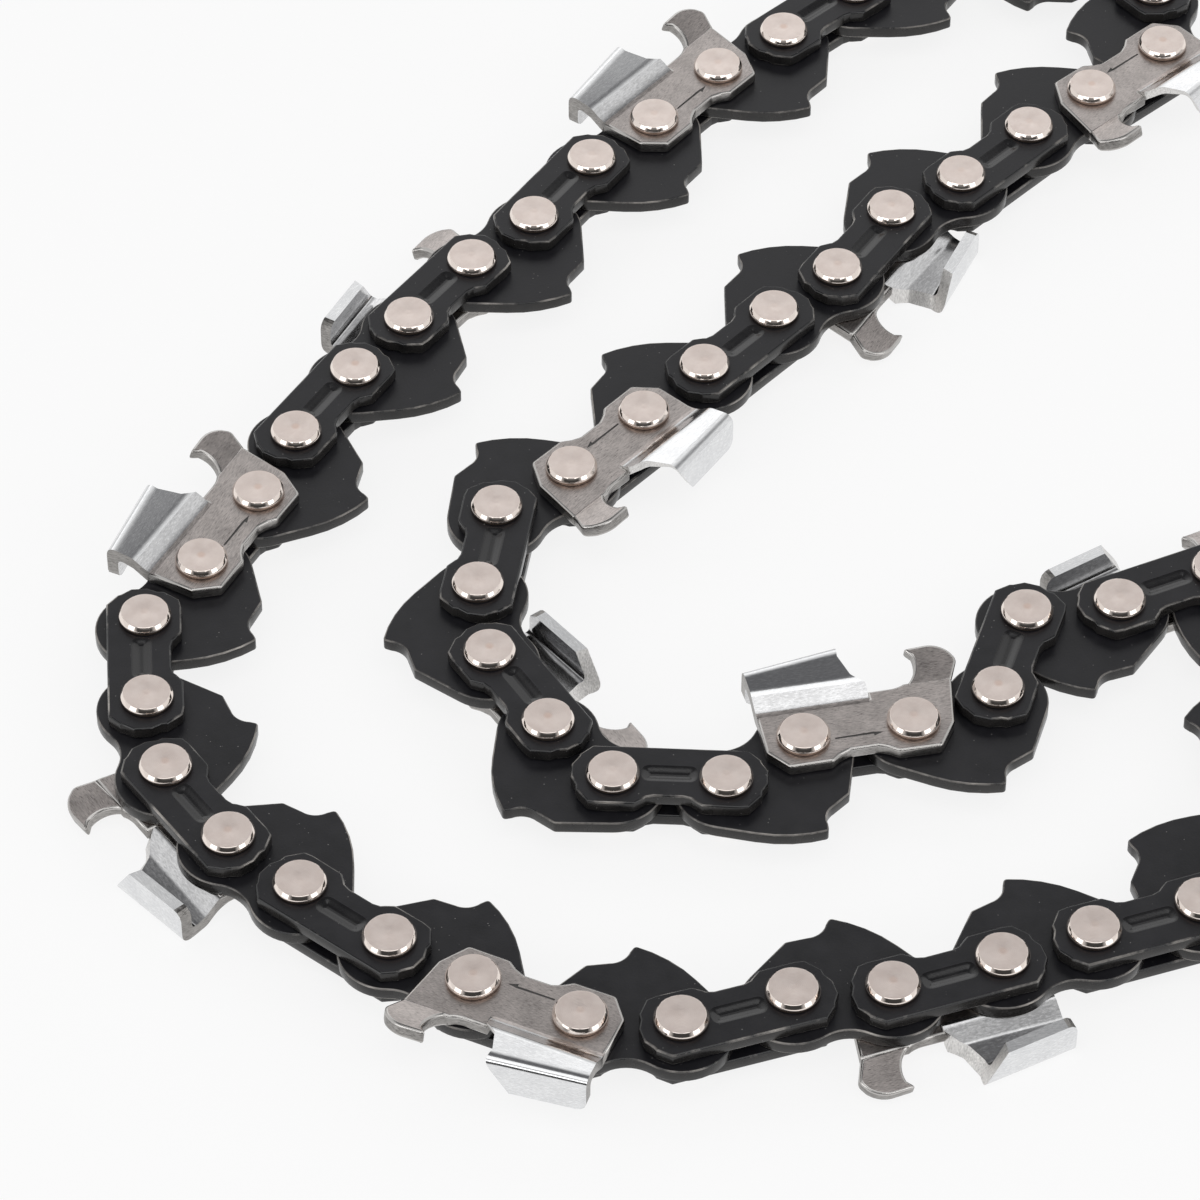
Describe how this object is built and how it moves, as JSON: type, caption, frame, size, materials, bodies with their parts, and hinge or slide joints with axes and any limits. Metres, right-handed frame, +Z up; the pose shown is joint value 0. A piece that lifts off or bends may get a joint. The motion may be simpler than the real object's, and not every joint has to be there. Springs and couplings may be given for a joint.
{
  "type": "saw chain",
  "caption": "Closed loop of saw chain lying on its side: drive links with hooked tangs, riveted tie straps and left and right cutters with depth gauges, turning on the rivets.",
  "frame": {"origin": "middle of the loop's footprint, on the table", "axes": "+Z up along the rivets, +Y along the loop away from the viewer, +X to the right"},
  "size_m": [0.1156, 0.1612, 0.0073],
  "materials": {
    "black_steel": "blackened, semi-gloss",
    "bright_steel": "brushed, with a chromed tooth"
  },
  "bodies": {
    "tie_link_01": {"tie_link_01": "black_steel"},
    "drive_link_01": {"drive_link_01": "black_steel"},
    "left_cutter_link_01": {"left_cutter_link_01": "bright_steel"},
    "drive_link_02": {"drive_link_02": "black_steel"},
    "tie_link_02": {"tie_link_02": "black_steel"},
    "drive_link_03": {"drive_link_03": "black_steel"},
    "right_cutter_link_01": {"right_cutter_link_01": "bright_steel"},
    "drive_link_04": {"drive_link_04": "black_steel"},
    "tie_link_03": {"tie_link_03": "black_steel"},
    "drive_link_05": {"drive_link_05": "black_steel"},
    "left_cutter_link_02": {"left_cutter_link_02": "bright_steel"},
    "drive_link_06": {"drive_link_06": "black_steel"},
    "tie_link_04": {"tie_link_04": "black_steel"},
    "drive_link_07": {"drive_link_07": "black_steel"},
    "right_cutter_link_02": {"right_cutter_link_02": "bright_steel"},
    "drive_link_08": {"drive_link_08": "black_steel"},
    "tie_link_05": {"tie_link_05": "black_steel"},
    "drive_link_09": {"drive_link_09": "black_steel"},
    "left_cutter_link_03": {"left_cutter_link_03": "bright_steel"},
    "drive_link_10": {"drive_link_10": "black_steel"},
    "tie_link_06": {"tie_link_06": "black_steel"},
    "drive_link_11": {"drive_link_11": "black_steel"},
    "right_cutter_link_03": {"right_cutter_link_03": "bright_steel"},
    "drive_link_12": {"drive_link_12": "black_steel"},
    "tie_link_07": {"tie_link_07": "black_steel"},
    "drive_link_13": {"drive_link_13": "black_steel"},
    "left_cutter_link_04": {"left_cutter_link_04": "bright_steel"},
    "drive_link_14": {"drive_link_14": "black_steel"},
    "tie_link_08": {"tie_link_08": "black_steel"},
    "drive_link_15": {"drive_link_15": "black_steel"},
    "right_cutter_link_04": {"right_cutter_link_04": "bright_steel"},
    "drive_link_16": {"drive_link_16": "black_steel"},
    "tie_link_09": {"tie_link_09": "black_steel"},
    "drive_link_17": {"drive_link_17": "black_steel"},
    "left_cutter_link_05": {"left_cutter_link_05": "bright_steel"},
    "drive_link_18": {"drive_link_18": "black_steel"},
    "tie_link_10": {"tie_link_10": "black_steel"},
    "drive_link_19": {"drive_link_19": "black_steel"},
    "right_cutter_link_05": {"right_cutter_link_05": "bright_steel"},
    "drive_link_20": {"drive_link_20": "black_steel"},
    "tie_link_11": {"tie_link_11": "black_steel"},
    "drive_link_21": {"drive_link_21": "black_steel"},
    "left_cutter_link_06": {"left_cutter_link_06": "bright_steel"},
    "drive_link_22": {"drive_link_22": "black_steel"},
    "tie_link_12": {"tie_link_12": "black_steel"},
    "drive_link_23": {"drive_link_23": "black_steel"},
    "right_cutter_link_06": {"right_cutter_link_06": "bright_steel"},
    "drive_link_24": {"drive_link_24": "black_steel"},
    "tie_link_13": {"tie_link_13": "black_steel"},
    "drive_link_25": {"drive_link_25": "black_steel"},
    "left_cutter_link_07": {"left_cutter_link_07": "bright_steel"},
    "drive_link_26": {"drive_link_26": "black_steel"},
    "tie_link_14": {"tie_link_14": "black_steel"},
    "drive_link_27": {"drive_link_27": "black_steel"},
    "right_cutter_link_07": {"right_cutter_link_07": "bright_steel"},
    "drive_link_28": {"drive_link_28": "black_steel"}
  },
  "joints": [
    {"name": "drive_link_15_hinge", "type": "hinge", "parent": "tie_link_08", "child": "drive_link_15", "pos_m": [0.04507, 0.06222, 0.00366], "axis": [0, 0, 1], "range_deg": [-3, 3]},
    {"name": "right_cutter_link_04_hinge", "type": "hinge", "parent": "drive_link_15", "child": "right_cutter_link_04", "pos_m": [0.04535, 0.05368, 0.00366], "axis": [0, 0, 1], "range_deg": [-15.88, 100.12]},
    {"name": "drive_link_16_hinge", "type": "hinge", "parent": "right_cutter_link_04", "child": "drive_link_16", "pos_m": [0.03789, 0.04702, 0.00366], "axis": [0, 0, 1], "range_deg": [-65.03, 50.97]},
    {"name": "tie_link_09_hinge", "type": "hinge", "parent": "drive_link_16", "child": "tie_link_09", "pos_m": [0.03142, 0.04143, 0.00366], "axis": [0, 0, 1], "range_deg": [-70.97, 45.03]},
    {"name": "drive_link_17_hinge", "type": "hinge", "parent": "tie_link_09", "child": "drive_link_17", "pos_m": [0.02444, 0.03426, 0.00366], "axis": [0, 0, 1], "range_deg": [-56.03, 59.97]},
    {"name": "left_cutter_link_05_hinge", "type": "hinge", "parent": "drive_link_17", "child": "left_cutter_link_05", "pos_m": [0.01751, 0.02926, 0.00366], "axis": [0, 0, 1], "range_deg": [-86.98, 29.02]},
    {"name": "drive_link_18_hinge", "type": "hinge", "parent": "left_cutter_link_05", "child": "drive_link_18", "pos_m": [0.01203, 0.0209, 0.00366], "axis": [0, 0, 1], "range_deg": [-53.02, 62.98]},
    {"name": "tie_link_10_hinge", "type": "hinge", "parent": "drive_link_18", "child": "tie_link_10", "pos_m": [0.00586, 0.01498, 0.00366], "axis": [0, 0, 1], "range_deg": [-69.97, 46.03]},
    {"name": "drive_link_19_hinge", "type": "hinge", "parent": "tie_link_10", "child": "drive_link_19", "pos_m": [-0.00086, 0.00757, 0.00366], "axis": [0, 0, 1], "range_deg": [-66.03, 49.97]},
    {"name": "right_cutter_link_05_hinge", "type": "hinge", "parent": "drive_link_19", "child": "right_cutter_link_05", "pos_m": [-0.00661, 0.00124, 0.00366], "axis": [0, 0, 1], "range_deg": [-65.97, 50.03]},
    {"name": "drive_link_20_hinge", "type": "hinge", "parent": "right_cutter_link_05", "child": "drive_link_20", "pos_m": [-0.01333, -0.00617, 0.00366], "axis": [0, 0, 1], "range_deg": [-55.03, 60.97]},
    {"name": "tie_link_11_hinge", "type": "hinge", "parent": "drive_link_20", "child": "tie_link_11", "pos_m": [-0.02017, -0.01129, 0.00366], "axis": [0, 0, 1], "range_deg": [-110.03, 5.97]},
    {"name": "drive_link_21_hinge", "type": "hinge", "parent": "tie_link_11", "child": "drive_link_21", "pos_m": [-0.02177, -0.02116, 0.00366], "axis": [0, 0, 1], "range_deg": [-83.07, 32.93]},
    {"name": "left_cutter_link_06_hinge", "type": "hinge", "parent": "drive_link_21", "child": "left_cutter_link_06", "pos_m": [-0.02059, -0.02963, 0.00366], "axis": [0, 0, 1], "range_deg": [-90.08, 25.92]},
    {"name": "drive_link_22_hinge", "type": "hinge", "parent": "left_cutter_link_06", "child": "drive_link_22", "pos_m": [-0.01529, -0.03811, 0.00366], "axis": [0, 0, 1], "range_deg": [-76.04, 39.96]},
    {"name": "tie_link_12_hinge", "type": "hinge", "parent": "drive_link_22", "child": "tie_link_12", "pos_m": [-0.00957, -0.04446, 0.00366], "axis": [0, 0, 1], "range_deg": [-111.16, 4.84]},
    {"name": "drive_link_23_hinge", "type": "hinge", "parent": "tie_link_12", "child": "drive_link_23", "pos_m": [0.00042, -0.04495, 0.00366], "axis": [0, 0, 1], "range_deg": [-105.02, 10.98]},
    {"name": "right_cutter_link_06_hinge", "type": "hinge", "parent": "drive_link_23", "child": "right_cutter_link_06", "pos_m": [0.00732, -0.0399, 0.00366], "axis": [0, 0, 1], "range_deg": [-41.01, 74.99]},
    {"name": "drive_link_24_hinge", "type": "hinge", "parent": "right_cutter_link_06", "child": "drive_link_24", "pos_m": [0.01713, -0.03796, 0.00366], "axis": [0, 0, 1], "range_deg": [-80.99, 35.01]},
    {"name": "tie_link_13_hinge", "type": "hinge", "parent": "drive_link_24", "child": "tie_link_13", "pos_m": [0.0248, -0.03419, 0.00366], "axis": [0, 0, 1], "range_deg": [-111.99, 4.01]},
    {"name": "drive_link_25_hinge", "type": "hinge", "parent": "tie_link_13", "child": "drive_link_25", "pos_m": [0.02786, -0.02467, 0.00366], "axis": [0, 0, 1], "range_deg": [-2.99, 113.01]},
    {"name": "left_cutter_link_07_hinge", "type": "hinge", "parent": "drive_link_25", "child": "left_cutter_link_07", "pos_m": [0.0363, -0.0233, 0.00366], "axis": [0, 0, 1], "range_deg": [-81.05, 34.95]},
    {"name": "drive_link_26_hinge", "type": "hinge", "parent": "left_cutter_link_07", "child": "drive_link_26", "pos_m": [0.04542, -0.0192, 0.00366], "axis": [0, 0, 1], "range_deg": [-4.83, 111.17]},
    {"name": "tie_link_14_hinge", "type": "hinge", "parent": "drive_link_26", "child": "tie_link_14", "pos_m": [0.05225, -0.02434, 0.00366], "axis": [0, 0, 1], "range_deg": [-6.79, 109.21]},
    {"name": "drive_link_27_hinge", "type": "hinge", "parent": "tie_link_14", "child": "drive_link_27", "pos_m": [0.05118, -0.03428, 0.00366], "axis": [0, 0, 1], "range_deg": [-59.01, 56.99]},
    {"name": "right_cutter_link_07_hinge", "type": "hinge", "parent": "drive_link_27", "child": "right_cutter_link_07", "pos_m": [0.04923, -0.0426, 0.00366], "axis": [0, 0, 1], "range_deg": [-56.95, 59.05]},
    {"name": "drive_link_28_hinge", "type": "hinge", "parent": "right_cutter_link_07", "child": "drive_link_28", "pos_m": [0.04545, -0.05186, 0.00366], "axis": [0, 0, 1], "range_deg": [-58.02, 57.98]},
    {"name": "drive_link_14_hinge", "type": "hinge", "parent": "tie_link_08", "child": "drive_link_14", "pos_m": [0.03864, 0.06988, 0.00366], "axis": [0, 0, 1], "range_deg": [-87.12, 28.88]},
    {"name": "left_cutter_link_04_hinge", "type": "hinge", "parent": "drive_link_14", "child": "left_cutter_link_04", "pos_m": [0.0303, 0.07179, 0.00366], "axis": [0, 0, 1], "range_deg": [-80.09, 35.91]},
    {"name": "drive_link_13_hinge", "type": "hinge", "parent": "left_cutter_link_04", "child": "drive_link_13", "pos_m": [0.02075, 0.06882, 0.00366], "axis": [0, 0, 1], "range_deg": [-79.98, 36.02]},
    {"name": "tie_link_07_hinge", "type": "hinge", "parent": "drive_link_13", "child": "tie_link_07", "pos_m": [0.01494, 0.06255, 0.00366], "axis": [0, 0, 1], "range_deg": [-46.04, 69.96]},
    {"name": "drive_link_12_hinge", "type": "hinge", "parent": "tie_link_07", "child": "drive_link_12", "pos_m": [0.00765, 0.0557, 0.00366], "axis": [0, 0, 1], "range_deg": [-45.97, 70.03]},
    {"name": "right_cutter_link_03_hinge", "type": "hinge", "parent": "drive_link_12", "child": "right_cutter_link_03", "pos_m": [0.00103, 0.0503, 0.00366], "axis": [0, 0, 1], "range_deg": [-61.03, 54.97]},
    {"name": "drive_link_11_hinge", "type": "hinge", "parent": "right_cutter_link_03", "child": "drive_link_11", "pos_m": [-0.00537, 0.04261, 0.00366], "axis": [0, 0, 1], "range_deg": [-43.97, 72.03]},
    {"name": "tie_link_06_hinge", "type": "hinge", "parent": "drive_link_11", "child": "tie_link_06", "pos_m": [-0.0115, 0.03665, 0.00366], "axis": [0, 0, 1], "range_deg": [-62.02, 53.98]},
    {"name": "drive_link_10_hinge", "type": "hinge", "parent": "tie_link_06", "child": "drive_link_10", "pos_m": [-0.01706, 0.02834, 0.00366], "axis": [0, 0, 1], "range_deg": [-39.98, 76.02]},
    {"name": "left_cutter_link_03_hinge", "type": "hinge", "parent": "drive_link_10", "child": "left_cutter_link_03", "pos_m": [-0.02298, 0.02217, 0.00366], "axis": [0, 0, 1], "range_deg": [-58.03, 57.97]},
    {"name": "drive_link_09_hinge", "type": "hinge", "parent": "left_cutter_link_03", "child": "drive_link_09", "pos_m": [-0.02882, 0.01406, 0.00366], "axis": [0, 0, 1], "range_deg": [-50.97, 65.03]},
    {"name": "tie_link_05_hinge", "type": "hinge", "parent": "drive_link_09", "child": "tie_link_05", "pos_m": [-0.0337, 0.00704, 0.00366], "axis": [0, 0, 1], "range_deg": [-53.03, 62.97]},
    {"name": "drive_link_08_hinge", "type": "hinge", "parent": "tie_link_05", "child": "drive_link_08", "pos_m": [-0.03897, -0.00146, 0.00366], "axis": [0, 0, 1], "range_deg": [-59.95, 56.05]},
    {"name": "right_cutter_link_02_hinge", "type": "hinge", "parent": "drive_link_08", "child": "right_cutter_link_02", "pos_m": [-0.04215, -0.0094, 0.00366], "axis": [0, 0, 1], "range_deg": [-43.04, 72.96]},
    {"name": "drive_link_07_hinge", "type": "hinge", "parent": "right_cutter_link_02", "child": "drive_link_07", "pos_m": [-0.04697, -0.01817, 0.00366], "axis": [0, 0, 1], "range_deg": [-44.98, 71.02]},
    {"name": "tie_link_04_hinge", "type": "hinge", "parent": "drive_link_07", "child": "tie_link_04", "pos_m": [-0.05172, -0.02527, 0.00366], "axis": [0, 0, 1], "range_deg": [-87.94, 28.06]},
    {"name": "drive_link_06_hinge", "type": "hinge", "parent": "tie_link_04", "child": "drive_link_06", "pos_m": [-0.051, -0.03524, 0.00366], "axis": [0, 0, 1], "range_deg": [-59.95, 56.05]},
    {"name": "left_cutter_link_02_hinge", "type": "hinge", "parent": "drive_link_06", "child": "left_cutter_link_02", "pos_m": [-0.04893, -0.04354, 0.00366], "axis": [0, 0, 1], "range_deg": [-71.93, 44.07]},
    {"name": "drive_link_05_hinge", "type": "hinge", "parent": "left_cutter_link_02", "child": "drive_link_05", "pos_m": [-0.04305, -0.05163, 0.00366], "axis": [0, 0, 1], "range_deg": [-62.95, 53.05]},
    {"name": "tie_link_03_hinge", "type": "hinge", "parent": "drive_link_05", "child": "tie_link_03", "pos_m": [-0.0366, -0.05724, 0.00366], "axis": [0, 0, 1], "range_deg": [-52.98, 63.02]},
    {"name": "drive_link_04_hinge", "type": "hinge", "parent": "tie_link_03", "child": "drive_link_04", "pos_m": [-0.02873, -0.06341, 0.00366], "axis": [0, 0, 1], "range_deg": [-55.99, 60.01]},
    {"name": "right_cutter_link_01_hinge", "type": "hinge", "parent": "drive_link_04", "child": "right_cutter_link_01", "pos_m": [-0.02148, -0.06795, 0.00366], "axis": [0, 0, 1], "range_deg": [-57.96, 58.04]},
    {"name": "drive_link_03_hinge", "type": "hinge", "parent": "right_cutter_link_01", "child": "drive_link_03", "pos_m": [-0.01235, -0.07203, 0.00366], "axis": [0, 0, 1], "range_deg": [-70.96, 45.04]},
    {"name": "tie_link_02_hinge", "type": "hinge", "parent": "drive_link_03", "child": "tie_link_02", "pos_m": [-0.00382, -0.0725, 0.00366], "axis": [0, 0, 1], "range_deg": [-70.93, 45.07]},
    {"name": "drive_link_02_hinge", "type": "hinge", "parent": "tie_link_02", "child": "drive_link_02", "pos_m": [0.00571, -0.06945, 0.00366], "axis": [0, 0, 1], "range_deg": [-37.05, 78.95]},
    {"name": "left_cutter_link_01_hinge", "type": "hinge", "parent": "drive_link_02", "child": "left_cutter_link_01", "pos_m": [0.01423, -0.06873, 0.00366], "axis": [0, 0, 1], "range_deg": [-63.95, 52.05]},
    {"name": "drive_link_01_hinge", "type": "hinge", "parent": "left_cutter_link_01", "child": "drive_link_01", "pos_m": [0.02369, -0.06551, 0.00366], "axis": [0, 0, 1], "range_deg": [-52.03, 63.97]},
    {"name": "tie_link_01_hinge", "type": "hinge", "parent": "drive_link_01", "child": "tie_link_01", "pos_m": [0.03169, -0.06247, 0.00366], "axis": [0, 0, 1], "range_deg": [-47.97, 68.03]}
  ],
  "couplings": [
    {"joint": "right_cutter_link_04_hinge", "follows": "drive_link_15_hinge", "ratio": 1.0951},
    {"joint": "drive_link_16_hinge", "follows": "drive_link_15_hinge", "ratio": 0.87352},
    {"joint": "tie_link_09_hinge", "follows": "drive_link_15_hinge", "ratio": 0.53471},
    {"joint": "drive_link_17_hinge", "follows": "drive_link_15_hinge", "ratio": -0.37134},
    {"joint": "left_cutter_link_05_hinge", "follows": "drive_link_15_hinge", "ratio": -0.71304},
    {"joint": "drive_link_18_hinge", "follows": "drive_link_15_hinge", "ratio": -0.96034},
    {"joint": "tie_link_10_hinge", "follows": "drive_link_15_hinge", "ratio": -1.0344},
    {"joint": "drive_link_19_hinge", "follows": "drive_link_15_hinge", "ratio": -0.94748},
    {"joint": "right_cutter_link_05_hinge", "follows": "drive_link_15_hinge", "ratio": -0.7249},
    {"joint": "drive_link_20_hinge", "follows": "drive_link_15_hinge", "ratio": -0.4111},
    {"joint": "tie_link_11_hinge", "follows": "drive_link_15_hinge", "ratio": 0.40008},
    {"joint": "drive_link_21_hinge", "follows": "drive_link_15_hinge", "ratio": 0.4065},
    {"joint": "left_cutter_link_06_hinge", "follows": "drive_link_15_hinge", "ratio": 0.4129},
    {"joint": "drive_link_22_hinge", "follows": "drive_link_15_hinge", "ratio": 1.1758},
    {"joint": "tie_link_12_hinge", "follows": "drive_link_15_hinge", "ratio": 1.0719},
    {"joint": "drive_link_23_hinge", "follows": "drive_link_15_hinge", "ratio": 0.82286},
    {"joint": "right_cutter_link_06_hinge", "follows": "drive_link_15_hinge", "ratio": 0.54423},
    {"joint": "drive_link_24_hinge", "follows": "drive_link_15_hinge", "ratio": -0.19488},
    {"joint": "tie_link_13_hinge", "follows": "drive_link_15_hinge", "ratio": -0.19399},
    {"joint": "drive_link_25_hinge", "follows": "drive_link_15_hinge", "ratio": -0.19199},
    {"joint": "left_cutter_link_07_hinge", "follows": "drive_link_15_hinge", "ratio": -0.19217},
    {"joint": "drive_link_26_hinge", "follows": "drive_link_15_hinge", "ratio": -0.19205},
    {"joint": "tie_link_14_hinge", "follows": "drive_link_15_hinge", "ratio": -0.19375},
    {"joint": "drive_link_27_hinge", "follows": "drive_link_15_hinge", "ratio": -0.19547},
    {"joint": "right_cutter_link_07_hinge", "follows": "drive_link_15_hinge", "ratio": 0.51706},
    {"joint": "drive_link_28_hinge", "follows": "drive_link_15_hinge", "ratio": 0.77109},
    {"joint": "drive_link_14_hinge", "follows": "drive_link_15_hinge", "ratio": -0.90155},
    {"joint": "left_cutter_link_04_hinge", "follows": "drive_link_15_hinge", "ratio": -0.5408},
    {"joint": "drive_link_13_hinge", "follows": "drive_link_15_hinge", "ratio": 0.36113},
    {"joint": "tie_link_07_hinge", "follows": "drive_link_15_hinge", "ratio": 0.6504},
    {"joint": "drive_link_12_hinge", "follows": "drive_link_15_hinge", "ratio": 0.84504},
    {"joint": "right_cutter_link_03_hinge", "follows": "drive_link_15_hinge", "ratio": 0.90608},
    {"joint": "drive_link_11_hinge", "follows": "drive_link_15_hinge", "ratio": 0.83513},
    {"joint": "tie_link_06_hinge", "follows": "drive_link_15_hinge", "ratio": 0.64244},
    {"joint": "drive_link_10_hinge", "follows": "drive_link_15_hinge", "ratio": 0.39221},
    {"joint": "left_cutter_link_03_hinge", "follows": "drive_link_15_hinge", "ratio": -0.39176},
    {"joint": "drive_link_09_hinge", "follows": "drive_link_15_hinge", "ratio": -0.6435},
    {"joint": "tie_link_05_hinge", "follows": "drive_link_15_hinge", "ratio": -0.82608},
    {"joint": "drive_link_08_hinge", "follows": "drive_link_15_hinge", "ratio": -0.88909},
    {"joint": "right_cutter_link_02_hinge", "follows": "drive_link_15_hinge", "ratio": -0.81871},
    {"joint": "drive_link_07_hinge", "follows": "drive_link_15_hinge", "ratio": -0.636},
    {"joint": "tie_link_04_hinge", "follows": "drive_link_15_hinge", "ratio": -0.36067},
    {"joint": "drive_link_06_hinge", "follows": "drive_link_15_hinge", "ratio": 0.36053},
    {"joint": "left_cutter_link_02_hinge", "follows": "drive_link_15_hinge", "ratio": 0.58176},
    {"joint": "drive_link_05_hinge", "follows": "drive_link_15_hinge", "ratio": 0.74401},
    {"joint": "tie_link_03_hinge", "follows": "drive_link_15_hinge", "ratio": 0.82959},
    {"joint": "drive_link_04_hinge", "follows": "drive_link_15_hinge", "ratio": 0.80649},
    {"joint": "right_cutter_link_01_hinge", "follows": "drive_link_15_hinge", "ratio": 0.64932},
    {"joint": "drive_link_03_hinge", "follows": "drive_link_15_hinge", "ratio": 0.38998},
    {"joint": "tie_link_02_hinge", "follows": "drive_link_15_hinge", "ratio": -0.44268},
    {"joint": "drive_link_02_hinge", "follows": "drive_link_15_hinge", "ratio": -0.74495},
    {"joint": "left_cutter_link_01_hinge", "follows": "drive_link_15_hinge", "ratio": -0.92389},
    {"joint": "drive_link_01_hinge", "follows": "drive_link_15_hinge", "ratio": -0.97181},
    {"joint": "tie_link_01_hinge", "follows": "drive_link_15_hinge", "ratio": -0.89108}
  ]
}
